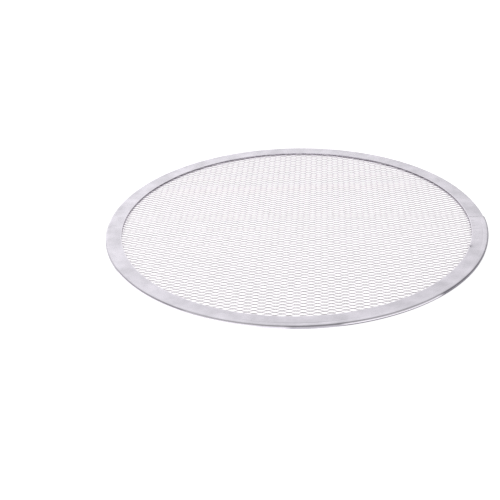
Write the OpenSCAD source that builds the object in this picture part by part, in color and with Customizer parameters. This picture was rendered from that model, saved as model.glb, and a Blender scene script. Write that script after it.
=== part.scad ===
// Round pizza screen, in millimetres.
// A disc of slit and stretched aluminium sheet is held in the hem of one folded aluminium strip.
// The origin is the centre of the underside, +Z is up, the strip's lap lies at +X, and the
// diamonds of the mesh are long along X.

/* [Rim] */
// Outer diameter of the screen
rim_d = 304.8; // [200:0.1:360]
// Width of the flat rim, from its inner lip to its outer edge
rim_w = 12.7; // [9:0.1:20]
// Thickness of the strip that is folded into the rim
sheet_t = 0.7; // [0.5:0.05:1]
// Rounding of the strip's cut edge at the inner lip
lip_r = 0.25; // [0.1:0.05:0.35]
// Distance of the crimped groove from the outer edge
crimp_in = 4; // [3.6:0.1:6]
// Width of the crimped groove
crimp_w = 1.8; // [1:0.1:2.4]
// Depth of the crimped groove
crimp_depth = 0.1; // [0.05:0.05:0.15]
// Height of the rolled outer edge above the flat rim
bead_rise = 0.1; // [0.05:0.05:0.4]

/* [Lap] */
// Length of the strip's lap, along the outer edge
lap_len = 56; // [30:1:80]
// Length of the lap that lies ahead of the X axis
lap_ahead = 8.5; // [5:0.5:25]
// How far the lap stands out of the outer edge
lap_out = 0.7; // [0.5:0.1:1.5]
// How far the lap stands up from the rim
lap_rise = 0.25; // [0.1:0.05:0.5]
// Number of wrinkles pressed across the lap
wrinkle_n = 5; // [1:1:7]
// Distance between the wrinkles, along the outer edge
wrinkle_pitch = 5; // [3:0.1:7]
// Width of a wrinkle
wrinkle_w = 1.8; // [1:0.1:2.5]
// Depth of a wrinkle
wrinkle_depth = 0.2; // [0.1:0.05:0.3]
// Diameter of the two stake marks in the lap
stake_d = 1.8; // [1:0.1:3]
// Depth of the stake marks
stake_depth = 0.35; // [0.1:0.05:0.4]
// Distance between the stake marks, along the outer edge
stake_pitch = 17; // [8:1:22]
// Diameter of the small notch in the lip at the end of the lap
notch_d = 2; // [1:0.1:3]

/* [Mesh] */
// Thickness of the mesh
mesh_t = 0.9; // [0.6:0.1:1.6]
// Distance between the diamonds, the long way
long_way = 25; // [20:0.5:40]
// Distance between the diamonds, the short way
short_way = 10; // [8:0.5:16]
// Width of a strand
strand_w = 2; // [1:0.1:3]
// How far the open part of the mesh reaches under the rim's lip
open_under = 1.5; // [0.5:0.5:3]

/* [Fits] */
// Clearance under the mesh in the hem
hem_under = 0.1; // [0.05:0.05:0.3]
// Clearance over the mesh in the hem
hem_over = 0.25; // [0.25:0.05:0.8]
// Clearance between the edge of the mesh and the fold
edge_clear = 0.5; // [0.3:0.1:1.5]

/* [Hidden] */
round_fn = 180;
bend_steps = 4;
fold_steps = 16;

r_out = rim_d / 2;
r_in = r_out - rim_w;
mesh_z = sheet_t + hem_under;
flange_z = mesh_z + mesh_t + hem_over + sheet_t;
bead_z = flange_z + bead_rise;
fold_r = bead_z / 2;
r_fold = r_out - fold_r;
r_crimp = r_out - crimp_in;
crimp_z = flange_z - crimp_depth;

function arc(centre, r, from, to, n) = [for (k = [0:n]) let (a = from + (to - from) * k / n)
    centre + r * [cos(a), sin(a)]];
function ease(from, to, n) = [for (k = [0:n]) let (t = k / n)
    [from[0] + (to[0] - from[0]) * t, from[1] + (to[1] - from[1]) * (1 - cos(180 * t)) / 2]];
function moved(line, by) = [for (p = line) p + by];
function backwards(line) = [for (k = [len(line) - 1:-1:0]) line[k]];
function angle_of(length) = length / r_out * 180 / PI;

// The rim's upper surface, from its rounded lip through the groove to the top of the rolled edge
lip_line = arc([r_in + lip_r, flange_z - lip_r], lip_r, 180, 90, bend_steps);
groove_line = concat(
    ease([r_crimp - crimp_w / 2, flange_z], [r_crimp, crimp_z], bend_steps),
    ease([r_crimp, crimp_z], [r_crimp + crimp_w / 2, bead_z], bend_steps)
);

// The strip's section: the lower leg, the full-round outer fold and the upper leg
module strip_section() {
    polygon(concat(
        [[r_in, sheet_t], [r_in, 0]],
        arc([r_fold, fold_r], fold_r, -90, 90, fold_steps),
        backwards(groove_line),
        backwards(lip_line),
        [[r_in, flange_z - sheet_t]],
        moved(groove_line, [0, -sheet_t]),
        arc([r_fold, fold_r], fold_r - sheet_t, 90, -90, fold_steps)
    ));
}

// The outer end of the strip, where it wraps over the inner end: its underside stays level
lap_r = fold_r + lap_rise / 2;
lap_centre = [r_fold + lap_out - lap_rise / 2, lap_r];
module lap_section() {
    polygon(concat(
        arc(lap_centre, lap_r, -90, 90, fold_steps),
        moved(backwards(groove_line), [0, lap_rise]),
        moved(backwards(lip_line), [0, lap_rise]),
        [[r_in, flange_z - sheet_t / 2]],
        moved(groove_line, [0, -sheet_t / 2]),
        arc([r_fold, fold_r], fold_r - sheet_t / 2, 90, -90, fold_steps)
    ));
}

lap_top = flange_z + lap_rise;
wrinkle_r = (pow(wrinkle_w / 2, 2) + pow(wrinkle_depth, 2)) / (2 * wrinkle_depth);
module wrinkle() {
    translate([r_in + lip_r, 0, lap_top + wrinkle_r - wrinkle_depth])
        rotate([0, 90, 0])
            cylinder(r = wrinkle_r, h = r_crimp - crimp_w / 2 - r_in - 2 * lip_r, $fn = round_fn);
}

stake_r = (pow(stake_d / 2, 2) + pow(stake_depth, 2)) / (2 * stake_depth);
module stake() {
    translate([(r_in + r_crimp) / 2, 0, lap_top + stake_r - stake_depth])
        sphere(r = stake_r, $fn = round_fn);
}

module notch() {
    translate([r_in, 0, flange_z - sheet_t - hem_over / 2])
        cylinder(d = notch_d, h = 2 * sheet_t + hem_over + lap_rise, $fn = round_fn);
}

// One strip, folded over the edge of the mesh and lapped on itself
module rim() {
    color("gainsboro")
        difference() {
            union() {
                rotate_extrude($fn = round_fn)
                    strip_section();
                rotate([0, 0, angle_of(lap_ahead - lap_len)])
                    rotate_extrude(angle = angle_of(lap_len), $fn = round_fn)
                        lap_section();
            }
            for (k = [0:wrinkle_n - 1])
                rotate([0, 0, angle_of(lap_ahead - (k + 0.7) * wrinkle_pitch)])
                    wrinkle();
            for (k = [0:1])
                rotate([0, 0, angle_of(lap_ahead - lap_len / 2 + (0.2 - k) * stake_pitch)])
                    stake();
            rotate([0, 0, angle_of(lap_ahead - lap_len + notch_d)])
                notch();
        }
}

// The diamonds follow from the pitches: their sides keep half a strand from the cell's own sides
r_mesh = r_fold - edge_clear;
r_open = r_in + open_under;
cell_side = long_way * short_way / norm([long_way, short_way]) / 2;
opening = 1 - strand_w / 2 / cell_side;
corners = [
    [long_way / 2 * opening, 0],
    [0, short_way / 2 * opening],
    [-long_way / 2 * opening, 0],
    [0, -short_way / 2 * opening]
];
row_n = ceil(2 * r_open / short_way);
column_n = ceil(r_open / long_way) + 1;
cells = [for (j = [-row_n:row_n]) for (i = [-column_n:column_n])
    let (p = [(i + abs(j) % 2 / 2) * long_way, j * short_way / 2])
    if (min([for (c = corners) norm(p + c)]) < r_open - strand_w / 2) p];

module mesh() {
    color("silver")
        translate([0, 0, mesh_z])
            linear_extrude(height = mesh_t)
                difference() {
                    circle(r = r_mesh, $fn = round_fn);
                    intersection() {
                        circle(r = r_open, $fn = round_fn);
                        for (p = cells)
                            translate(p)
                                polygon(corners);
                    }
                }
}

rim();
mesh();
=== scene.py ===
"""A round pizza screen on a pale floor: expanded aluminium mesh in a folded and lapped aluminium rim.

Lengths are in millimetres unless a comment says otherwise. The origin is the screen's centre, the lap of
its rim lies at +X, and directions round it are turned from there.
"""
import math

import bpy
import numpy as np
from mathutils import Matrix, Vector


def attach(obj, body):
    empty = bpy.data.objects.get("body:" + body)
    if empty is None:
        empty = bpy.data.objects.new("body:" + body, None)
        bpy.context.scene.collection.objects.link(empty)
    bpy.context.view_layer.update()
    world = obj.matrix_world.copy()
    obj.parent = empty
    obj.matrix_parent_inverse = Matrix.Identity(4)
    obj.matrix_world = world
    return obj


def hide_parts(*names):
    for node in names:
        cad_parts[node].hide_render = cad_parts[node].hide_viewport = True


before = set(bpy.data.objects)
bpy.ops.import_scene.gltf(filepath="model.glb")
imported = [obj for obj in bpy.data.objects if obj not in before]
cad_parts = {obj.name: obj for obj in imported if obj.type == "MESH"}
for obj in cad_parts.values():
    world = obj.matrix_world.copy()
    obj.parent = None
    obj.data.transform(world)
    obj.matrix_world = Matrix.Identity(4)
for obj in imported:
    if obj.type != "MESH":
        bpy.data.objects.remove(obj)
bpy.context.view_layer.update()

# Sizes of the rim, as in the part's source
RIM_D = 304.8
RIM_W = 12.7
SHEET_T = 0.7
LIP_R = 0.25
CRIMP_IN = 4.0
CRIMP_W = 1.8
CRIMP_DEPTH = 0.1
BEAD_RISE = 0.1
LAP_LEN = 56.0
LAP_AHEAD = 8.5
LAP_OUT = 0.7
LAP_RISE = 0.25
WRINKLE_N = 5
WRINKLE_PITCH = 5.0
STAKE_N = 2
STAKE_D = 1.8
STAKE_PITCH = 17.0
NOTCH_D = 2.0
MESH_T = 0.9
HEM_UNDER = 0.1
HEM_OVER = 0.25
EDGE_CLEAR = 0.5

R_OUT = RIM_D / 2
R_IN = R_OUT - RIM_W
MESH_Z = SHEET_T + HEM_UNDER
FLANGE_Z = MESH_Z + MESH_T + HEM_OVER + SHEET_T
BEAD_Z = FLANGE_Z + BEAD_RISE
FOLD_R = BEAD_Z / 2
R_FOLD = R_OUT - FOLD_R
R_CRIMP = R_OUT - CRIMP_IN
R_MESH = R_FOLD - EDGE_CLEAR

rng = np.random.default_rng(7)


def new_object(name, verts_mm, faces, smooth):
    """A mesh object from an array of points in millimetres and a list of faces."""
    mesh = bpy.data.meshes.new(name)
    mesh.from_pydata((np.asarray(verts_mm) * 0.001).tolist(), [], faces)
    mesh.validate()
    mesh.polygons.foreach_set("use_smooth", [smooth] * len(mesh.polygons))
    obj = bpy.data.objects.new(name, mesh)
    bpy.context.scene.collection.objects.link(obj)
    return obj


def smooth_step(x):
    """A smooth rise from 0 at 0 to 1 at 1."""
    t = np.clip(x, 0, 1)
    return t * t * (3 - 2 * t)


def bump(x, width):
    """A smooth hill of height 1 at 0."""
    return np.exp(-(x / width) ** 2)


def span(x, first, last, soft):
    """1 between two values and 0 beyond them, with smooth ends."""
    return smooth_step((x - first) / soft + 0.5) * smooth_step((last - x) / soft + 0.5)


def arc(centre, radius, start, end, n):
    """Points of an arc between two directions in degrees."""
    a = np.radians(np.linspace(start, end, n + 1))
    return [(centre[0] + radius * math.cos(t), centre[1] + radius * math.sin(t)) for t in a]


def line(p, q, n):
    """Points of a straight line."""
    return [(p[0] + (q[0] - p[0]) * t, p[1] + (q[1] - p[1]) * t) for t in np.linspace(0, 1, n + 1)]


def along(length):
    """The angle of a length along the outer edge, in radians."""
    return length / R_OUT


def from_angle(angle, degrees):
    """Length along the outer edge from a direction to each angle."""
    turn = angle - math.radians(degrees)
    return (np.mod(turn + math.pi, 2 * math.pi) - math.pi) * R_OUT


# Rim: one closed section swept round, which the lap widens and lifts

BOTTOM_STEPS = 4
FOLD_STEPS = 24
GROOVE_STEPS = 14
FLAT_STEPS = 12
LIP_STEPS = 5
INSIDE_STEPS = 8
LAP_STATIONS = 240
RIM_STATIONS = 960

# Where the section's upper line begins, inside the centre of the fold
TOP_START = 0.2
# Turn round the fold at which its inner side begins, in degrees
INSIDE_START = 80

# Share of LAP_OUT that the lap reaches at its end
LAP_REACH = 0.75
# Share of the lap's length on which it rises to its full height
LAP_RAMP = 0.25
# Share of that height that the lap loses at its end, and the length over which it does
LAP_END_LOSS = 0.8
LAP_END_LEN = 7.0
# Length of the step down at the lap's end
LAP_STEP = 0.02

# The flat stretch ahead of the lap: its depth, its direction in degrees and its reach
FLAT_DEPTH = 0.5
FLAT_AT = 20
FLAT_LEN = 36

# Least depth of the groove and what it gains, as shares, and where it does: direction in degrees and reach
GROOVE_LEAST = 0.1
GROOVE_GAIN = 0.9
GROOVE_PLACES = [(-87, 30), (-7, 25)]

# Dips of the pressed sheet: their depth, how many waves of each kind go round the rim, and the share of
# the dips that the groove and the rolled edge have
DIP_DEPTH = 0.015
DIP_WAVES = (23, 31, 44, 57, 73, 96, 118, 149)
DIP_OUTSIDE = 0.3
# The flat part ends this far inside the groove, and fades over this length
GROOVE_CLEAR = 0.6
GROOVE_FADE = 0.8
# Height below the underside of the lip from which points begin to follow the upper surface
UPPER_MARGIN = 0.1

# Wrinkles of the lap, each within these limits: slant, half width, depth and length from the lip
WRINKLE_SLANT = (-0.3, 0.3)
WRINKLE_W = (0.6, 1.2)
WRINKLE_DEPTH = (0.05, 0.14)
WRINKLE_LEN = (4, 9)
# Length over which a wrinkle fades, and its share at the lip
WRINKLE_FADE = 3
WRINKLE_AT_LIP = 0.3
# The first wrinkle lies this many pitches behind the lap's end
WRINKLE_START = 0.7

STAKE_DEPTH = 0.2
# The first stake mark lies this many pitches ahead of the lap's middle
STAKE_START = 0.2


def top_height(r, groove):
    """Height of the rim's upper surface, which rises to the rolled edge behind a faint groove."""
    rise = BEAD_RISE * smooth_step((r - R_CRIMP + CRIMP_W / 2) / (R_FOLD - R_CRIMP + CRIMP_W / 2))
    across = np.clip((r - R_CRIMP) / CRIMP_W * 2, -1, 1)
    return FLANGE_Z + rise - CRIMP_DEPTH * groove * (1 + math.cos(math.pi * across)) / 2


def section(out, rise, groove, cut):
    """The strip's closed section, with its fold moved out, its top lifted and its lip cut back."""
    inner_edge = R_CRIMP - CRIMP_W / 2
    lip = R_IN + LIP_R + cut
    radius = FOLD_R + rise / 2
    centre = (R_FOLD + out - rise / 2, radius)
    points = line((R_IN, 0.0), (centre[0], 0.0), BOTTOM_STEPS)[:-1]
    points += arc(centre, radius, -90, 90, FOLD_STEPS)
    across = [r for r, _ in line((R_FOLD - TOP_START, 0), (inner_edge, 0), GROOVE_STEPS)]
    across += [r for r, _ in line((inner_edge, 0), (lip, 0), FLAT_STEPS)[1:]]
    points += [(r, top_height(r, groove) + rise) for r in across]
    points += arc((lip, FLANGE_Z - LIP_R + rise), LIP_R, 90, 180, LIP_STEPS)[1:]
    points += [(r, top_height(r, groove) - SHEET_T) for r in (lip - LIP_R, inner_edge, R_CRIMP, R_FOLD)]
    points += arc((R_FOLD, FOLD_R), FOLD_R - SHEET_T, INSIDE_START, -90, INSIDE_STEPS)
    points += [(R_IN, SHEET_T)]
    return points


def lap_shape(at):
    """How far the lap stands out and up at a length along the outer edge from the X axis."""
    share = np.clip((at - LAP_AHEAD + LAP_LEN) / LAP_LEN, 0, 1)
    end_loss = LAP_END_LOSS * smooth_step((at - LAP_AHEAD + LAP_END_LEN) / LAP_END_LEN)
    out = LAP_REACH * LAP_OUT * smooth_step(share)
    rise = LAP_RISE * smooth_step(share / LAP_RAMP) * (1 - end_loss)
    return out, rise


def flattened(angle):
    """The strip is a little flat where it runs up to the end of the lap."""
    return -FLAT_DEPTH * bump(from_angle(angle, FLAT_AT), FLAT_LEN)


def notch_cut(angle):
    """Depth of the round notch in the lip."""
    away = (angle - along(LAP_AHEAD - LAP_LEN + NOTCH_D)) * R_IN
    return math.sqrt(max((NOTCH_D / 2) ** 2 - away ** 2, 0))


def groove_depth(angle):
    """The crimped groove fades in and out along the strip."""
    depth = GROOVE_LEAST
    for at, reach in GROOVE_PLACES:
        depth += GROOVE_GAIN * bump(from_angle(angle, at), reach)
    return depth


# Each wave's number round the rim, phase, slant across the rim and size
waves = [(k, rng.uniform(0, 2 * math.pi), rng.uniform(-0.25, 0.25), rng.uniform(0.4, 1.0))
         for k in DIP_WAVES]


def unevenness(angle, r):
    """Slight dips of the pressed sheet below its true height."""
    z = np.zeros_like(angle)
    for k, phase, slant, size in waves:
        z += size * (np.cos(k * angle + phase + slant * (r - R_IN)) - 1) / math.sqrt(k)
    return DIP_DEPTH * z


def rim_surface():
    """Points and faces of the folded strip, with its lap and the notch in its lip."""
    lap = along(np.linspace(LAP_AHEAD - LAP_LEN, LAP_AHEAD, LAP_STATIONS))
    rest = np.linspace(along(LAP_AHEAD + LAP_STEP), 2 * math.pi + lap[0], RIM_STATIONS)[:-1]
    stations = [(a, *lap_shape(a * R_OUT)) for a in lap]
    stations += [(a, flattened(a), 0.0) for a in rest]
    verts = []
    for a, out, rise in stations:
        points = section(out, rise, groove_depth(a), notch_cut(a))
        verts += [(r * math.cos(a), r * math.sin(a), z) for r, z in points]
    verts = np.array(verts)
    n = len(verts) // len(stations)
    faces = []
    for i in range(len(stations)):
        a = i * n
        b = (i + 1) % len(stations) * n
        faces += [(a + k, b + k, b + (k + 1) % n, a + (k + 1) % n) for k in range(n)]
    return verts, faces


def near_stake(r, angle, k):
    """Distance from a stake mark, where the angle is in degrees."""
    at = along(LAP_AHEAD - LAP_LEN / 2 + (STAKE_START - k) * STAKE_PITCH)
    return np.hypot(r - (R_IN + R_CRIMP) / 2, (np.radians(angle) - at) * r)


def press(verts):
    """The points with the dips, wrinkles and stake marks of the rim's upper surface."""
    z = verts[:, 2]
    r = np.hypot(verts[:, 0], verts[:, 1])
    angle = np.arctan2(verts[:, 1], verts[:, 0])
    upper = smooth_step((z - FLANGE_Z + SHEET_T + UPPER_MARGIN) / SHEET_T)
    flat = smooth_step((R_CRIMP - GROOVE_CLEAR - r) / GROOVE_FADE)
    dz = unevenness(angle, r) * upper * (DIP_OUTSIDE + (1 - DIP_OUTSIDE) * flat)
    inner = flat * np.clip(r - R_IN, WRINKLE_AT_LIP, 1)
    for k in range(WRINKLE_N):
        at = along(LAP_AHEAD - (k + WRINKLE_START) * WRINKLE_PITCH)
        slant = rng.uniform(*WRINKLE_SLANT)
        width = rng.uniform(*WRINKLE_W)
        depth = rng.uniform(*WRINKLE_DEPTH)
        reach = smooth_step((R_IN + rng.uniform(*WRINKLE_LEN) - r) / WRINKLE_FADE)
        dz -= depth * bump((angle - at) * r + slant * (r - R_IN), width) * inner * upper * reach
    for k in range(STAKE_N):
        dz -= STAKE_DEPTH * bump(near_stake(r, np.degrees(angle), k), STAKE_D / 2) * upper
    verts[:, 2] = z + dz
    return verts


# Finish of the rim: painted shade, painted highlights and rubbed metal

# Stretches of painted shade and of painted highlight on the outer fold's side: first and last direction
# round the screen, lowest and highest turn round the fold, all in degrees, and strength
# Painted shade, which stands in for the fold's dark reflections and for a contact shadow at its foot
SHADE_STRETCHES = [
    (-190, -166, -90, 62, 0.2),
    (-166, -148, -90, 62, 0.4),
    (-148, -118, -90, 62, 0.45),
    (-98, -90, -90, 62, 0.2),
    (-90, -76, -90, 62, 0.45),
    (-76, -46.5, -90, 10, 0.9),
    (-46.5, -20, -90, 62, 0.72),
    (-46.5, 4, -90, 5, 0.85),
    (-20, 6, -90, 66, 0.72),
    (165, 190, -90, 62, 0.2),
]
# Painted highlights, which stand in for the fold's bright reflections
HIGHLIGHT_STRETCHES = [
    (-148, -118, -90, 34, 0.9),
    (-118, -98, -90, 73, 0.95),
    (-98, -90, -90, 73, 0.5),
    (-76, -46.5, 12, 50, 1.0),
]
# How softly a stretch ends round the screen and round the fold, in degrees
STRETCH_SOFT = 3
TURN_SOFT = 10

# Strength and reach of the painted shade round the notch, where the hem's hollow is dark
NOTCH_SHADE = 0.85
NOTCH_SHADE_R = 2.0
# Strength of the painted shade on the lip's cut edge, and what it gains towards the two sides
LIP_SHADE = 0.15
LIP_SHADE_SIDES = 0.7
# Strength of the rubbed metal on the lap, and where it lies, in degrees
LAP_RUBBED = 0.35
RUBBED_FROM = -18
RUBBED_TO = 3
RUBBED_SOFT = 6
# Reach of the painted highlight in a stake mark
STAKE_HIGHLIGHT_R = 0.6 * STAKE_D
# How far below the flat rim a point may lie and still be of its upper surface
TOP_DEPTH = 0.5
# Places that are nearer than this are the same
CLOSE = 0.01


def stretches(listed, r, angle, turn):
    """Strength of the listed stretches at each point, which is 0 off the side of the fold."""
    amount = np.zeros_like(angle)
    for first, last, low, high, strength in listed:
        side = span(turn, low - TURN_SOFT, high, TURN_SOFT)
        amount += strength * span(angle, first, last, STRETCH_SOFT) * side
    return amount * (r > R_FOLD)


def around(verts):
    """Radius, direction in degrees and turn round the fold, of each point."""
    r = np.hypot(verts[:, 0], verts[:, 1])
    angle = np.degrees(np.arctan2(verts[:, 1], verts[:, 0]))
    turn = np.degrees(np.arctan2(verts[:, 2] - FOLD_R, r - R_FOLD))
    return r, angle, turn


def painted_shade(verts):
    """How dark the painted shade is on the fold, at the notch and on the lip's cut edge, from 0 to 1."""
    r, angle, turn = around(verts)
    above_leg = verts[:, 2] > SHEET_T + CLOSE
    # Painted shade round the notch, where the hem's hollow is dark
    notch = along(LAP_AHEAD - LAP_LEN + NOTCH_D) * R_IN
    notch_shade = NOTCH_SHADE * bump(np.hypot(r - R_IN, np.radians(angle) * R_IN - notch), NOTCH_SHADE_R) * above_leg
    # Painted shade on the lip's cut edge, stronger towards the sides
    sides = np.abs(np.cos(np.radians(angle)))
    lip = (LIP_SHADE + LIP_SHADE_SIDES * sides) * above_leg * (r < R_IN + CLOSE)
    return np.clip(stretches(SHADE_STRETCHES, r, angle, turn) + notch_shade + lip, 0, 1)


def highlight_and_wear(verts):
    """How bright the painted highlights are on the lip's round edge, the stake marks and the fold, and the
    rubbed metal on the lap, from 0 to 1.
    """
    r, angle, turn = around(verts)
    top = verts[:, 2] > FLANGE_Z - TOP_DEPTH
    # Painted highlight on the lip's round edge
    lip = (r > R_IN + CLOSE) * (r < R_IN + LIP_R + CLOSE) * (verts[:, 2] > FLANGE_Z - SHEET_T + CLOSE)
    rubbed = LAP_RUBBED * span(angle, RUBBED_FROM, RUBBED_TO, RUBBED_SOFT) * top * (r < R_FOLD)
    brightening = lip + rubbed
    # Painted highlights in the stake marks
    for k in range(STAKE_N):
        brightening = brightening + bump(near_stake(r, angle, k), STAKE_HIGHLIGHT_R) * top
    return np.clip(brightening + stretches(HIGHLIGHT_STRETCHES, r, angle, turn), 0, 1)


def add_shade(obj, name, values):
    """Stores a value for each point, which the material reads."""
    layer = obj.data.attributes.new(name, "FLOAT", "POINT")
    layer.data.foreach_set("value", np.asarray(values, dtype=np.float32))


rim_verts, rim_faces = rim_surface()
rim_verts = press(rim_verts)
rim = new_object("rim_strip", rim_verts, rim_faces, True)
# Painted shade on the fold, round the notch and on the lip's cut edge
add_shade(rim, "painted_shade", painted_shade(rim_verts))
# Painted highlights on the lip, the stake marks and the fold, and rubbed metal on the lap
add_shade(rim, "highlight_and_wear", highlight_and_wear(rim_verts))


# Mesh: each strand is a slit ribbon that waves between the bonds of one row and of the next

# The mesh's real diamonds, which are finer than those of its solid
LONG_WAY = 9.66
SHORT_WAY = 3.86
# Width and thickness of a strand, and its tilt in degrees
STRAND_W = 0.6
STRAND_T = 0.4
STRAND_TILT = 3.0
# Half the length of a bond, and how far the strand draws back at its ends
BOND_REACH = 1.4
BOND_DROP = 0.14
# Height of the strands' middle above the bottom of the mesh
MESH_LEVEL = 0.38


def ribbon(j):
    """Points and faces of the waving ribbon between the rows of diamonds j and j + 1."""
    step = LONG_WAY / 2
    row = SHORT_WAY / 2
    reach = math.sqrt(max(R_MESH ** 2 - ((j + 0.5) * row) ** 2, 0))
    n = int(reach // step)
    if n < 1:
        return [], []
    stations = []
    for k in range(-n, n + 1):
        low = (k + j) % 2 != 0
        side = 1 if low else -1
        y = (j if low else j + 1) * row
        for end in (-1, 0, 1):
            stations.append((k * step + end * BOND_REACH, y + side * BOND_DROP * abs(end), side))
    dy = math.cos(math.radians(STRAND_TILT))
    dz = math.sin(math.radians(STRAND_TILT))
    verts = []
    for x, y, side in stations:
        cy = y + side * STRAND_W / 2 * dy
        cz = side * STRAND_W / 2 * dz
        corners = [(x, cy + a * STRAND_W / 2 * dy - b * STRAND_T / 2 * dz,
                    cz + a * STRAND_W / 2 * dz + b * STRAND_T / 2 * dy)
                   for a, b in ((-1, -1), (1, -1), (1, 1), (-1, 1))]
        for k in range(4):
            verts += [corners[k], corners[(k + 1) % 4]]
    faces = [(0, 6, 4, 2)]
    for p in range(0, 8 * (len(stations) - 1), 8):
        faces += [(p + k, p + k + 1, p + k + 9, p + k + 8) for k in (0, 2, 4, 6)]
    last = 8 * (len(stations) - 1)
    faces.append((last, last + 2, last + 4, last + 6))
    return verts, faces


def mesh_surface():
    """Points and faces of all the ribbons."""
    rows = int(2 * R_MESH / SHORT_WAY)
    all_verts = []
    all_faces = []
    for j in range(-rows, rows):
        verts, faces = ribbon(j)
        start = len(all_verts)
        all_verts += verts
        all_faces += [tuple(start + k for k in face) for face in faces]
    all_verts = np.array(all_verts)
    all_verts[:, 2] += MESH_Z + MESH_LEVEL
    return all_verts, all_faces


grid = new_object("expanded_mesh", *mesh_surface(), True)


# Materials

# Colour of the painted highlights and of the rubbed metal on the lap
HIGHLIGHT_AND_RUBBED_COLOUR = (0.965, 0.925, 1.0)
# Part of the noise's range over which the tone and the gloss change, and the noise's detail
TONE_RANGE = (0.35, 0.65)
TONE_DETAIL = 6.0
GLOSS_RANGE = (0.3, 0.7)
GLOSS_DETAIL = 4.0
# The gloss and the dents change this many times as fast as the tone
FINER = 3
# Strength of the dents
RELIEF = 0.6


def material(name):
    """An empty material with its nodes and links."""
    mat = bpy.data.materials.new(name)
    mat.use_nodes = True
    nodes = mat.node_tree.nodes
    nodes.clear()
    return mat, nodes, mat.node_tree.links


def node(nodes, kind, **values):
    """A node of this kind, with its settings."""
    made = nodes.new(kind)
    for key, value in values.items():
        setattr(made, key, value)
    return made


def noise(nodes, links, place, scale, detail):
    """A cloudy value that stays in place on the object."""
    made = node(nodes, "ShaderNodeTexNoise")
    made.inputs["Scale"].default_value = scale
    made.inputs["Detail"].default_value = detail
    links.new(place.outputs["Object"], made.inputs["Vector"])
    return made.outputs[0]


def remap(nodes, links, value, start, end, low, high):
    """A value's range from start to end, turned into a range from low to high."""
    made = node(nodes, "ShaderNodeMapRange")
    made.inputs["From Min"].default_value = start
    made.inputs["From Max"].default_value = end
    made.inputs["To Min"].default_value = low
    made.inputs["To Max"].default_value = high
    links.new(value, made.inputs["Value"])
    return made.outputs[0]


def blend(nodes, links, factor, first, second):
    """A colour between two, which are each a colour or another node's output."""
    made = node(nodes, "ShaderNodeMix", data_type="RGBA")
    links.new(factor, made.inputs[0])
    for socket, colour in ((6, first), (7, second)):
        if isinstance(colour, tuple):
            made.inputs[socket].default_value = (*colour, 1)
        else:
            links.new(colour, made.inputs[socket])
    return made.outputs[2]


def sheet_metal(name, light, dark, roughness, scale, depth, shade_colour):
    """Satin rolled sheet: cloudy tone, uneven gloss, shallow dents and, on the rim, painted shade, painted
    highlights and rubbed metal.

    The scale is the number of clouds in a metre, and the depth of the dents is in metres.
    """
    mat, nodes, links = material(name)
    out = node(nodes, "ShaderNodeOutputMaterial")
    shader = node(nodes, "ShaderNodeBsdfPrincipled")
    shader.inputs["Metallic"].default_value = 1.0
    links.new(shader.outputs[0], out.inputs[0])
    place = node(nodes, "ShaderNodeTexCoord")
    cloud = remap(nodes, links, noise(nodes, links, place, scale, TONE_DETAIL), *TONE_RANGE, 0.0, 1.0)
    colour = blend(nodes, links, cloud, light, dark)
    if shade_colour:
        # On the rim the colour darkens where shade is painted, and whitens where highlights are painted or
        # the lap is rubbed
        shade_mask = node(nodes, "ShaderNodeAttribute", attribute_name="painted_shade")
        colour = blend(nodes, links, shade_mask.outputs["Fac"], colour, shade_colour)
        highlight_mask = node(nodes, "ShaderNodeAttribute", attribute_name="highlight_and_wear")
        colour = blend(nodes, links, highlight_mask.outputs["Fac"], colour, HIGHLIGHT_AND_RUBBED_COLOUR)
    links.new(colour, shader.inputs["Base Color"])
    fine = noise(nodes, links, place, scale * FINER, GLOSS_DETAIL)
    links.new(remap(nodes, links, fine, *GLOSS_RANGE, *roughness), shader.inputs["Roughness"])
    relief = node(nodes, "ShaderNodeBump")
    relief.inputs["Strength"].default_value = RELIEF
    relief.inputs["Distance"].default_value = depth
    links.new(fine, relief.inputs["Height"])
    links.new(relief.outputs[0], shader.inputs["Normal"])
    return mat


# The rim's last colour is that of its painted shade
rim.data.materials.append(sheet_metal(
    "rim_aluminium", light=(0.885, 0.85, 0.925), dark=(0.725, 0.70, 0.76), roughness=(0.18, 0.28),
    scale=70, depth=0.00012, shade_colour=(0.10, 0.09, 0.12)))
grid.data.materials.append(sheet_metal(
    "mesh_aluminium", light=(0.79, 0.755, 0.79), dark=(0.70, 0.67, 0.70), roughness=(0.25, 0.40),
    scale=200, depth=0.00004, shade_colour=None))

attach(rim, "root")
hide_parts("rim")
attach(grid, "root")
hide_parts("mesh")


# Floor, light and camera

FLOOR_HALF = 4000
FLOOR_TINT = (1.0, 0.995, 1.0)
FLOOR_GLOW = 0.85
FLOOR_GREY = (0.6, 0.6, 0.6)


def make_floor():
    """A pale matt floor that glows a little, so that it comes out white."""
    corners = [(x * FLOOR_HALF, y * FLOOR_HALF, 0) for x, y in ((-1, -1), (1, -1), (1, 1), (-1, 1))]
    floor = new_object("floor", corners, [(0, 1, 2, 3)], False)
    mat, nodes, links = material("pale_floor")
    out = node(nodes, "ShaderNodeOutputMaterial")
    glow = node(nodes, "ShaderNodeEmission")
    glow.inputs["Color"].default_value = (*FLOOR_TINT, 1)
    glow.inputs["Strength"].default_value = FLOOR_GLOW
    matt = node(nodes, "ShaderNodeBsdfDiffuse")
    matt.inputs["Color"].default_value = (*FLOOR_GREY, 1)
    both = node(nodes, "ShaderNodeAddShader")
    links.new(glow.outputs[0], both.inputs[0])
    links.new(matt.outputs[0], both.inputs[1])
    links.new(both.outputs[0], out.inputs[0])
    floor.data.materials.append(mat)


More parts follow.
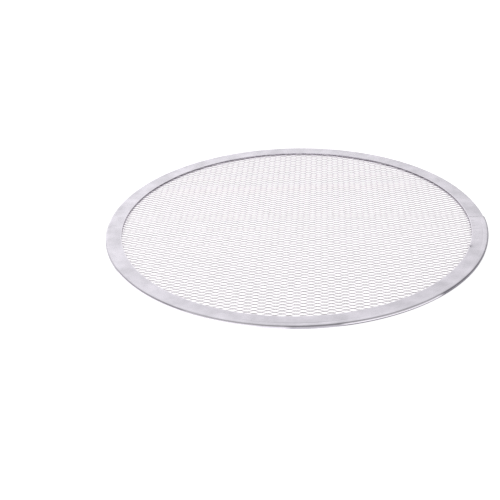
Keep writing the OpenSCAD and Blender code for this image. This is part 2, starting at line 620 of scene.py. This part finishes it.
# Brightness of the room from the near side, through overhead, to the far wall. The near side is
# bright low down and high up, and dimmer between, where a viewer stands
ROOM = [(0.0, 0.98), (0.03, 0.96), (0.045, 0.60), (0.09, 0.60), (0.105, 0.92), (0.13, 0.88), (0.20, 0.40),
        (0.5, 0.30), (0.72, 0.36), (0.85, 0.60), (0.91, 0.78), (0.935, 0.865), (0.955, 0.83), (1.0, 0.90)]
# What the far wall loses to the right and gains to the left, and what both sides gain
ROOM_SLANT = -0.44
ROOM_SIDES = 0.35
ROOM_LIGHT = 1.31


def make_world():
    """A room with a bright far wall, brighter to the left, that is dim overhead."""
    world = bpy.data.worlds.new("studio")
    world.use_nodes = True
    nodes = world.node_tree.nodes
    links = world.node_tree.links
    nodes.clear()
    out = node(nodes, "ShaderNodeOutputWorld")
    back = node(nodes, "ShaderNodeBackground")
    links.new(back.outputs[0], out.inputs[0])
    place = node(nodes, "ShaderNodeTexCoord")
    split = node(nodes, "ShaderNodeSeparateXYZ")
    links.new(place.outputs["Generated"], split.inputs[0])
    ramp = node(nodes, "ShaderNodeValToRGB")
    stops = ramp.color_ramp.elements
    for k, (at, tone) in enumerate(ROOM):
        stop = stops[k] if k < 2 else stops.new(at)
        stop.position = at
        stop.color = (tone, tone, tone, 1)
    links.new(remap(nodes, links, split.outputs[1], -1, 1, 0, 1), ramp.inputs[0])
    far = node(nodes, "ShaderNodeMath", operation="MAXIMUM")
    far.inputs[1].default_value = 0
    links.new(split.outputs[1], far.inputs[0])
    across = node(nodes, "ShaderNodeMath", operation="MULTIPLY")
    links.new(split.outputs[0], across.inputs[0])
    links.new(far.outputs[0], across.inputs[1])
    slant = node(nodes, "ShaderNodeMath", operation="MULTIPLY_ADD")
    slant.inputs[1].default_value = ROOM_SLANT
    links.new(across.outputs[0], slant.inputs[0])
    links.new(ramp.outputs[0], slant.inputs[2])
    size = node(nodes, "ShaderNodeMath", operation="ABSOLUTE")
    links.new(split.outputs[0], size.inputs[0])
    sides = node(nodes, "ShaderNodeMath", operation="POWER")
    sides.inputs[1].default_value = 2
    links.new(size.outputs[0], sides.inputs[0])
    total = node(nodes, "ShaderNodeMath", operation="MULTIPLY_ADD")
    total.inputs[1].default_value = ROOM_SIDES
    links.new(sides.outputs[0], total.inputs[0])
    links.new(slant.outputs[0], total.inputs[2])
    bright = node(nodes, "ShaderNodeMath", operation="MULTIPLY")
    bright.inputs[1].default_value = ROOM_LIGHT
    links.new(total.outputs[0], bright.inputs[0])
    links.new(bright.outputs[0], back.inputs["Strength"])
    bpy.context.scene.world = world


CAMERA_SENSOR = 36.0
CAMERA_LENS = 63.97
# Directions of the camera, in degrees
CAMERA_ELEVATION = 29.111
CAMERA_AZIMUTH = 5.3
CAMERA_ROLL = -2.360
# Distance of the camera and the point that it looks at, in outer radii from the screen's centre
CAMERA_DISTANCE = 4.5
TARGET = (-0.2436, -0.2672)
# How far the camera sees, in metres
CAMERA_END = 50.0


def make_camera():
    """The camera looks down at a point of the floor, to the left of and before the screen's centre."""
    data = bpy.data.cameras.new("camera")
    data.sensor_width = CAMERA_SENSOR
    data.lens = CAMERA_LENS
    data.clip_end = CAMERA_END
    camera = bpy.data.objects.new("camera", data)
    bpy.context.scene.collection.objects.link(camera)
    scale = R_OUT * 0.001
    tilt = math.radians(CAMERA_ELEVATION)
    back = Vector((0, -math.cos(tilt), math.sin(tilt)))
    spin = Matrix.Rotation(math.radians(CAMERA_AZIMUTH), 4, "Z")
    target = Vector((TARGET[0], TARGET[1], 0)) * scale
    up = Vector((1, 0, 0)).cross(-back)
    facing = Matrix((Vector((1, 0, 0)), up, back)).transposed().to_4x4()
    roll = Matrix.Rotation(math.radians(CAMERA_ROLL), 4, "Z")
    camera.matrix_world = spin @ Matrix.Translation(target + back * CAMERA_DISTANCE * scale) @ facing @ roll
    bpy.context.scene.camera = camera


make_floor()
make_world()
make_camera()
bpy.context.scene.view_settings.view_transform = "Standard"
